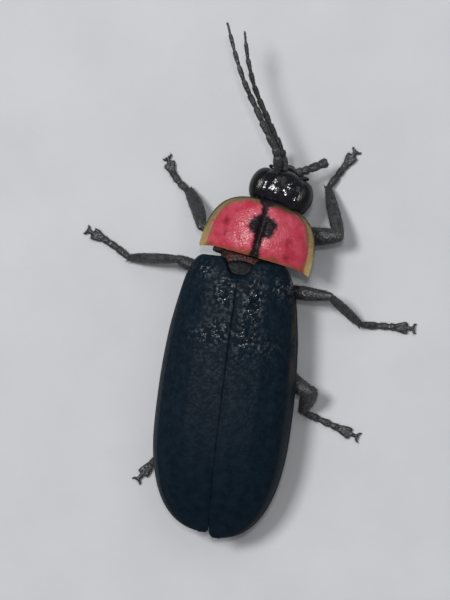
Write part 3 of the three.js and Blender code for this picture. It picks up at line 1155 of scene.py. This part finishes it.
@dataclass
class Feeler:
    """A jointed feeler or palp along a curve, each joint widening to its tip."""

    name: str
    path: tuple[Triple, ...]
    joints: int
    start_r: float
    end_r: float
    flare: float = 1.2
    last: float = 1.0
    base_lengths: tuple[float, ...] = (1.3, 0.6)
    base_share: float = 0.74
    overlap: float = 0.008
    voxel: float = 0.024
    smoothing: int = 1

    def at(self, share: float) -> Vector:
        """The point at a share along the path, smoothed through its points.

        Args:
            share: how far along, 0 to 1.

        Returns:
            The point.
        """
        steps = [0.0]
        points = [Vector(p) for p in self.path]
        for a, b in zip(points, points[1:]):
            steps.append(steps[-1] + (b - a).length)
        target = max(0.0, min(1.0, share)) * steps[-1]
        i = max(k for k in range(len(points) - 1) if steps[k] <= target + 1e-9)
        t = (target - steps[i]) / (steps[i + 1] - steps[i])
        before = points[max(0, i - 1)]
        after = points[min(len(points) - 1, i + 2)]
        a, b = points[i], points[i + 1]
        return 0.5 * ((2 * a) + (b - before) * t + (2 * before - 5 * a + 4 * b - after) * t * t
                      + (3 * a - before - 3 * b + after) * t ** 3)

    def build(self, bench: Bench) -> bpy.types.Object:
        """Makes the feeler as one skin, still in millimetres.

        Args:
            bench: makes the object.

        Returns:
            The piece.
        """
        shape = bmesh.new()
        lengths = [*self.base_lengths] + [1.0] * (self.joints - len(self.base_lengths))
        total = sum(lengths)
        joint = Rod(squash=0.78, blunt=0.26, lap=0.12)
        start = 0.0
        for i, length in enumerate(lengths):
            end = start + length / total
            r = lerp(self.start_r, self.end_r, i / (self.joints - 1))
            wide = r * self.flare * (self.last if i == self.joints - 1 else 1.0)
            joint.add(shape, self.at(start - self.overlap), self.at(end), r * self.base_share, wide)
            start = end
        piece = bench.mesh(self.name, shape)
        bench.melt(piece, self.voxel, self.smoothing)
        return piece


@dataclass
class Leg:
    """One leg: hip, thigh, shin, five foot joints, the fourth with two lobes, and two claws."""

    name: str
    hip: Triple
    root: Triple
    knee: Triple
    ankle: Triple
    toe: Triple
    thigh: float
    shin: tuple[float, float]
    shin_bow: float = 0.0
    thigh_bow: float = 0.0
    foot_bow: float = 0.0
    lobe_spread: float = 0.19
    foot_r: float = 0.185
    claw_spread: float = 0.24
    claw_r: Triple = (0.085, 0.06, 0.035)
    hip_r: tuple[float, float] = (0.44, 0.32)
    ring_r: tuple[float, float] = (0.28, 0.26)
    elbow_z: float = 0.17
    claw_z: float = 0.05
    spur: float = 0.26
    voxel: float = 0.028
    smoothing: int = 2

    def along(self, share: float) -> Vector:
        """The middle line of the foot at a share from the ankle to the claws.

        Args:
            share: how far along, 0 to 1, and a little more for the claws.

        Returns:
            The point.
        """
        ankle, toe = Vector(self.ankle), Vector(self.toe)
        place = ankle.lerp(toe, share)
        place.z = lerp(ankle.z, self.foot_r * 0.86, min(1.0, share / 0.3))
        return place + self.side() * self.foot_bow * math.sin(min(1.0, share) * math.pi)

    def side(self) -> Vector:
        """The level direction to the right of the foot."""
        return level_side(Vector(self.toe) - Vector(self.ankle))

    def unwrap(self) -> Unwrap:
        """How the skin is laid flat."""
        return Unwrap((self.hip, self.root, self.knee, self.ankle, self.toe))

    def add_foot(self, shape: bmesh.types.BMesh) -> None:
        """Adds the foot joints, lobes and claws.

        Args:
            shape: the bmesh that takes them.
        """
        joint = Rod(squash=0.86, blunt=0.36, lap=0.25)
        starts = (0.0, 0.3, 0.5, 0.65)
        for start, end in zip(starts, starts[1:]):
            joint.add(shape, self.along(start), self.along(end), self.foot_r * 0.72, self.foot_r * 1.1)
        joint.add(shape, self.along(0.62), self.along(1.0), self.foot_r * 0.52, self.foot_r * 0.6)
        side = self.side()
        for sign in (-1, 1):
            lobe = self.along(0.86) + side * sign * self.lobe_spread
            Rod(squash=0.7).add(shape, self.along(0.6), lobe, self.foot_r * 0.66, self.foot_r * 0.78)
            elbow = self.along(1.01) + side * sign * self.claw_spread * 0.8
            elbow.z = self.elbow_z
            tip = self.along(1.05) + side * sign * self.claw_spread
            tip.z = self.claw_z
            claw = Rod(along=10, around=12)
            claw.add(shape, self.along(0.99), elbow, *self.claw_r[:2])
            claw.add(shape, elbow, tip, *self.claw_r[1:])

    def build(self, bench: Bench) -> bpy.types.Object:
        """Makes the leg as one skin, still in millimetres.

        Args:
            bench: makes the object.

        Returns:
            The piece.
        """
        shape = bmesh.new()
        hip, root, knee, ankle = (Vector(p) for p in (self.hip, self.root, self.knee, self.ankle))
        Rod().add(shape, hip, root, *self.hip_r)
        Rod().add(shape, root, root.lerp(knee, 0.12), *self.ring_r)
        back = level_side(knee - root) * self.thigh_bow
        thigh = Rod(squash=0.85, blunt=0.36, belly=0.26, lap=0.6, bow=back)
        thigh.add(shape, root.lerp(knee, 0.07), knee, self.thigh * 0.78, self.thigh * 0.74)
        bow = level_side(ankle - knee) * self.shin_bow
        shin = Rod(squash=0.85, blunt=0.42, belly=0.1, lap=0.55, bow=bow, flutes=8, around=64, along=32)
        shin.add(shape, knee, ankle, *self.shin)
        side = level_side(ankle - knee)
        for sign in (-1, 1):
            spur = ankle + side * sign * self.shin[1] * 0.6
            heel = spur + (ankle - knee).normalized() * self.spur + side * sign * 0.06
            Rod(around=10, along=8).add(shape, spur, heel, 0.05, 0.02)
        self.add_foot(shape)
        piece = bench.mesh(f"{self.name}_skin", shape)
        bench.melt(piece, self.voxel, self.smoothing)
        return piece


LEGS = (
    Leg("leg_front_left", (0.3, 2.75, 1.6), (0.05, 2.85, 1.2), (-2.29, 2.83, 1.7), (-3.26, 4.48, 0.42),
        (-4.52, 5.98, 0), thigh=0.36, shin=(0.29, 0.29), shin_bow=0.13, foot_bow=-0.2),
    Leg("leg_front_right", (1.15, 2.6, 1.6), (1.45, 2.75, 1.2), (4.42, 3.17, 1.75), (3.5, 5.48, 0.42),
        (4.6, 7.4, 0), thigh=0.48, shin=(0.32, 0.21)),
    Leg("leg_middle_left", (-0.75, 0.35, 1.6), (-1.15, 0.45, 1.15), (-3.18, 1.11, 1.8), (-5.76, 0.9, 0.42),
        (-8.01, 1.98, 0), thigh=0.36, shin=(0.22, 0.225), foot_bow=0.08),
    Leg("leg_middle_right", (0.75, 0.2, 1.6), (1.15, 0.2, 1.15), (4.35, 0.23, 1.95), (5.87, -0.92, 0.45),
        (8.46, -0.81, 0), thigh=0.36, shin=(0.21, 0.2)),
    Leg("leg_hind_left", (-0.8, -1.95, 1.6), (-1.3, -2.2, 1.05), (-3.0, -4.75, 1.2), (-2.46, -7.3, 0.42),
        (-4.03, -9.83, 0), thigh=0.38, shin=(0.24, 0.22), foot_bow=-0.06),
    Leg("leg_hind_right", (0.8, -1.95, 1.6), (1.3, -2.2, 1.1), (4.01, -4.43, 1.75), (3.59, -5.49, 0.42),
        (6.39, -6.37, 0), thigh=0.53, shin=(0.42, 0.22), thigh_bow=0.45),
)

FEELERS = (
    Feeler("antenna_left_skin", ((1.15, 5.7, 2.8), (1.15, 5.98, 2.93), (1.11, 6.6, 3.28), (0.96, 6.92, 3.4),
                                 (0.38, 7.82, 3.65), (-0.15, 8.73, 3.85), (-0.71, 9.63, 4.05),
                                 (-1.36, 11.0, 4.2), (-1.97, 12.56, 4.2)), 11, 0.195, 0.085, 1.22, 0.55),
    Feeler("antenna_right_skin", ((1.55, 5.7, 2.5), (1.5, 5.98, 2.52), (1.32, 6.63, 2.65), (1.18, 6.96, 2.7),
                                  (0.62, 7.87, 2.8), (0.11, 8.78, 2.85), (-0.41, 9.69, 2.92),
                                  (-0.91, 11.08, 3.1), (-1.19, 12.32, 3.3)), 11, 0.195, 0.085, 1.22, 0.55),
    Feeler("palp_left_skin", ((1.12, 5.8, 2.0), (1.06, 6.1, 1.9), (1.0, 6.4, 1.72), (0.93, 6.7, 1.6),
                              (0.85, 7.0, 1.5)), 4, 0.15, 0.17, 1.15, 1.15),
    Feeler("palp_right_skin", ((1.72, 5.82, 2.0), (1.95, 5.93, 1.94), (2.2, 6.0, 1.9), (2.6, 6.2, 1.8),
                               (3.36, 6.64, 1.6)), 4, 0.22, 0.22, 1.1, 1.08),
)


@dataclass
class Belly:
    """One skin for the first thorax ring, the thorax and the ringed abdomen with its light organ."""

    front_y: float = -2.4
    back_y: float = -11.5
    half_width: float = 2.5
    z: float = 1.95
    above: float = 0.8
    below: float = 0.62
    rings: int = 7
    organ: tuple[float, float] = (5 / 7, 6 / 7)
    ring_front: float = -3.0
    around: int = 96
    along: int = 240
    voxel: float = 0.05
    smoothing: int = 3

    def ring_share(self, y: float) -> float:
        """How far along the ringed abdomen a place lies."""
        return (self.ring_front - y) / (self.ring_front - self.back_y)

    def abdomen(self, share: float, angle: float) -> Vector:
        """The point on the abdomen.

        Args:
            share: how far from the front to the tip, 0 to 1.
            angle: the angle about the body's length.

        Returns:
            The point.
        """
        y = lerp(self.front_y, self.back_y, share)
        along = self.ring_share(y)
        taper = 1 - 0.55 * max(0.0, (along - 0.45) / 0.55) ** 2.2
        cap = min(1.0, math.sin(share * math.pi) * 4) ** 0.6 if 0 < share < 1 else 0.0
        ring = (along * self.rings) % 1.0
        groove = 1 - 0.05 * bell(min(ring, 1 - ring), 0.1) - 0.02 * (1 - ring)
        rise = self.above if math.sin(angle) > 0 else self.below
        return Vector((self.half_width * taper * cap * groove * power(math.cos(angle), 0.75), y,
                       self.z + rise * taper ** 0.5 * cap * groove * power(math.sin(angle), 0.75)))

    def marks(self, place: Vector) -> Triple:
        """Shares of the light organ, of the paler joint skins and of the russet skin at a point.

        Args:
            place: the point, in millimetres.

        Returns:
            The three shares.
        """
        along = self.ring_share(place.y)
        low = 1 - step(place.z, self.z - 0.15, self.z + 0.1)
        edge = 1 - step(abs(place.x), 1.75, 2.1)
        organ = step(along, self.organ[0] + 0.005, self.organ[0] + 0.02)
        organ *= 1 - step(along, self.organ[1] - 0.02, self.organ[1] - 0.005)
        ring = (along * self.rings) % 1.0
        joint = bell(min(ring, 1 - ring), 0.07) if 0.05 < along < 0.98 else 0.0
        mottle = noise.noise(place * 2.6)
        russet = step(place.z, 2.6, 2.8) * step(place.y, 1.1, 1.4) * step(1.1 - abs(place.x), 0.0, 0.3)
        russet *= lerp(0.25, 1.0, step(mottle, -0.2, 0.25))
        return organ * low * edge, 0.5 * joint, russet

    def build(self, bench: Bench, shield: Shield) -> bpy.types.Object:
        """Makes the skin, still in millimetres.

        Args:
            bench: places the piece.
            shield: the shield that the first ring carries.

        Returns:
            The skin.
        """
        shape = bmesh.new()
        add_ball(shape, self.around, self.along, self.abdomen)
        add_pillow(shape, Vector((0, THORAX_Y, 2.05)), (1.95, 2.1, 0.8), Matrix())  # thorax
        add_pillow(shape, Vector((0, -0.2, 2.1)), (1.6, 1.2, 0.9), shield.turn())  # first ring
        add_pillow(shape, Vector((0, 1.1, 2.65)), (1.12, 0.85, 0.5), Matrix())  # skin behind the shield
        for sign in (-1, 1):
            add_ellipsoid(shape, Vector((sign * 1.15, 1.82, 2.85)), (0.34, 0.2, 0.16))
        piece = bench.mesh("belly_skin", shape)
        bench.melt(piece, self.voxel, self.smoothing)
        paint(piece, self.marks)
        return piece


@dataclass
class Scutellum:
    """The small shield between the bases of the wing cases."""

    y: float = 0.72
    z: float = 3.18
    half_width: float = 0.8
    half_length: float = 0.68
    half_height: float = 0.17
    around: int = 64
    along: int = 40

    def build(self, bench: Bench) -> bpy.types.Object:
        """Makes the plate, still in millimetres.

        Args:
            bench: makes the object.

        Returns:
            The piece.
        """
        shape = bmesh.new()

        def place(share: float, angle: float) -> Vector:
            """The point on the plate, narrower towards its hind tip.

            Args:
                share: how far from pole to pole, 0 to 1.
                angle: the angle about the poles.

            Returns:
                The point.
            """
            reach = math.sin(share * math.pi) ** 0.7
            taper = 1 + 0.35 * math.sin(angle)
            return Vector((self.half_width * reach * math.cos(angle) * taper,
                           self.y + self.half_length * reach * math.sin(angle),
                           self.z + self.half_height * power(math.cos(share * math.pi), 0.8)))

        add_ball(shape, self.around, self.along, place)
        return bench.mesh("scutellum_plate", shape)


@dataclass(frozen=True)
class Lamp:
    """A square lamp that points at the animal; its place and side are in metres."""

    name: str
    place: Triple
    side: float
    watts: float

    def hang(self) -> None:
        """Hangs the lamp."""
        data = bpy.data.lights.new(self.name, "AREA")
        data.shape = "SQUARE"
        data.size = self.side
        data.energy = self.watts
        lamp = bpy.data.objects.new(self.name, data)
        lamp.location = self.place
        lamp.rotation_euler = (-Vector(self.place)).to_track_quat("-Z", "Y").to_euler()
        bpy.context.scene.collection.objects.link(lamp)


@dataclass
class Studio:
    """Pale floor, soft lights and a camera that looks down on the back."""

    pixel: float = 0.0483
    picture: tuple[int, int] = (450, 600)
    anchor: tuple[float, float] = (240.0, 290.0)
    turn: float = 7.2
    lean: float = 6.0
    look_z: float = 2.0
    distance: float = 150.0
    sensor: float = 36.0
    floor_reach: float = 0.6
    floor_dark: Triple = (0.575, 0.585, 0.605)
    floor_pale: Triple = (0.62, 0.63, 0.65)
    room: Triple = (0.93, 0.96, 1.0)
    room_light: float = 0.19
    lamps: tuple[Lamp, ...] = (Lamp("key", (-0.095, 0.05, 0.27), 0.07, 0.50),
                               Lamp("fill", (0.10, 0.16, 0.26), 0.20, 0.12),
                               Lamp("spark", (0.025, 0.035, 0.29), 0.02, 0.13))

    def floor(self) -> None:
        """Lays the floor."""
        shape = bmesh.new()
        bmesh.ops.create_grid(shape, x_segments=1, y_segments=1, size=self.floor_reach)
        data = bpy.data.meshes.new("floor")
        shape.to_mesh(data)
        shape.free()
        ground = bpy.data.objects.new("floor", data)
        bpy.context.scene.collection.objects.link(ground)
        n = Nodes("floor")
        colour = n.blend(n.cloud(0.2, 4.0, 0.3, 0.7), self.floor_dark, self.floor_pale)
        n.wear(colour, 0.9, n.bump(n.noise(1.0, 3.0), 0.02))
        data.materials.append(n.material)

    def light(self) -> None:
        """Fills the room with even pale light and hangs the lamps."""
        world = bpy.data.worlds.new("room")
        world.use_nodes = True
        background = world.node_tree.nodes["Background"]
        background.inputs["Color"].default_value = (*self.room, 1.0)
        background.inputs["Strength"].default_value = self.room_light
        bpy.context.scene.world = world
        bpy.context.scene.view_settings.view_transform = "Standard"
        for lamp in self.lamps:
            lamp.hang()

    def camera(self, bench: Bench) -> None:
        """Sets the camera so that the anchor pixel sees the animal's zero.

        Args:
            bench: gives the row's frame.
        """
        roll = math.radians(self.turn)
        up = Vector((-math.sin(roll), math.cos(roll), 0))
        right = Vector((math.cos(roll), math.sin(roll), 0))
        aim = bench.to_frame() @ Vector((0, 0, self.look_z))
        dx = (self.picture[0] / 2 - self.anchor[0]) * self.pixel * MM
        dy = (self.anchor[1] - self.picture[1] / 2) * self.pixel * MM
        aim += right * dx + up * dy
        tilt = math.radians(self.lean)
        away = Vector((math.sin(tilt), 0, math.cos(tilt)))
        side = (up.cross(away)).normalized()
        true_up = away.cross(side).normalized()
        data = bpy.data.cameras.new("camera")
        data.lens = self.sensor * self.distance / (self.picture[1] * self.pixel)
        data.sensor_width = self.sensor
        data.clip_start = 0.001
        data.clip_end = 5.0
        camera = bpy.data.objects.new("camera", data)
        camera.matrix_world = Matrix.Translation(aim + away * self.distance * MM) @ Matrix(
            (side, true_up, away)).transposed().to_4x4()
        bpy.context.scene.collection.objects.link(camera)
        bpy.context.scene.camera = camera


def main() -> None:
    """Builds the firefly in order and sets the studio around it."""
    logging.basicConfig(level=logging.INFO, format="%(name)s %(message)s")
    bench = Bench()
    wing_finish = WingCaseFinish().build()
    shield_finish = ShieldFinish().build()
    skull_finish = GlossFinish().build()
    eye_finish = GlossFinish("eye", colour=(0.0035, 0.0035, 0.005), bloom=(0.007, 0.007, 0.009),
                             pits_per_mm=26.0, pit_depth=0.006, lump_depth=0.004, order=0.35,
                             rough=(0.16, 0.24)).build()
    plate_finish = GlossFinish("plate", colour=(0.0025, 0.0030, 0.0050), bloom=(0.0045, 0.0050, 0.0080),
                               pits_per_mm=9.0, pit_depth=0.008, lump_depth=0.03, rough=(0.4, 0.6),
                               shine=0.12).build()
    limb_finish = LimbFinish().build()
    belly_finish = UndersideFinish().build()
    hair_finish = HairFinish().build()
    fuzz_finish = HairFinish("fuzz", (0.004, 0.007, 0.011), (0.014, 0.020, 0.028)).build()

    seam_path = Unwrap(((0, 2.0, MARGIN_Z), (0, -12.5, MARGIN_Z)))
    for side, length in ((Side.LEFT, 13.3), (Side.RIGHT, 13.5)):
        case = WingCase(side, length)
        piece = case.build(bench)
        down = Coat(f"wing_down_{side.name.lower()}", seam_path, count=2600, length=0.15, thickness=0.006,
                    lift=0.2)
        down.grow(bench, piece, fuzz_finish, lambda place, normal: normal.z > 0.1)
        bench.finish_piece(piece, wing_finish, (f"elytron_{side.name.lower()}",))

    shield = Shield()
    bench.finish_piece(shield.build(bench), shield_finish, ("pronotum",))

    head = Head()
    bench.finish_piece(head.build_skull(bench), skull_finish, ("head",))
    for side in Side:
        bench.finish_piece(head.build_eye(bench, side), eye_finish, (f"eye_{side.name.lower()}",))

    belly = Belly().build(bench, shield)
    belly_path = Unwrap(((0, 4.5, 2.0), (0, -12.5, 2.0)))
    fur = Coat("belly_down", belly_path, count=2600, length=0.16, thickness=0.008, lift=0.35)
    fur.grow(bench, belly, hair_finish, lambda place, normal: normal.z < 0.2)
    bench.finish_piece(belly, belly_finish,
                       ("prothorax", "thorax", "abdomen", "light_organ", "abdomen_tip"))
    bench.finish_piece(Scutellum().build(bench), plate_finish, ("scutellum",))

    for feeler in FEELERS:
        piece = feeler.build(bench)
        lie = (Vector(feeler.path[-1]) - Vector(feeler.path[0])).normalized()
        down = Coat(feeler.name.replace("_skin", "_down"), Unwrap(feeler.path), count=600, length=0.11,
                    thickness=0.007, lift=0.5, lie=lie)
        down.grow(bench, piece, hair_finish, lambda place, normal: True)
        bench.finish_piece(piece, limb_finish, (feeler.name.replace("_skin", ""),))

    for leg in LEGS:
        piece = leg.build(bench)
        lie = (Vector(leg.toe) - Vector(leg.knee)).normalized()
        down = Coat(f"{leg.name}_down", leg.unwrap(), count=1500, length=0.17, thickness=0.008, lift=0.35,
                    lie=lie)
        down.grow(bench, piece, hair_finish, lambda place, normal: place.z > 0.12)
        bench.finish_piece(piece, limb_finish, (leg.name,))

    studio = Studio()
    studio.floor()
    studio.light()
    studio.camera(bench)


if __name__ == "__main__":
    main()
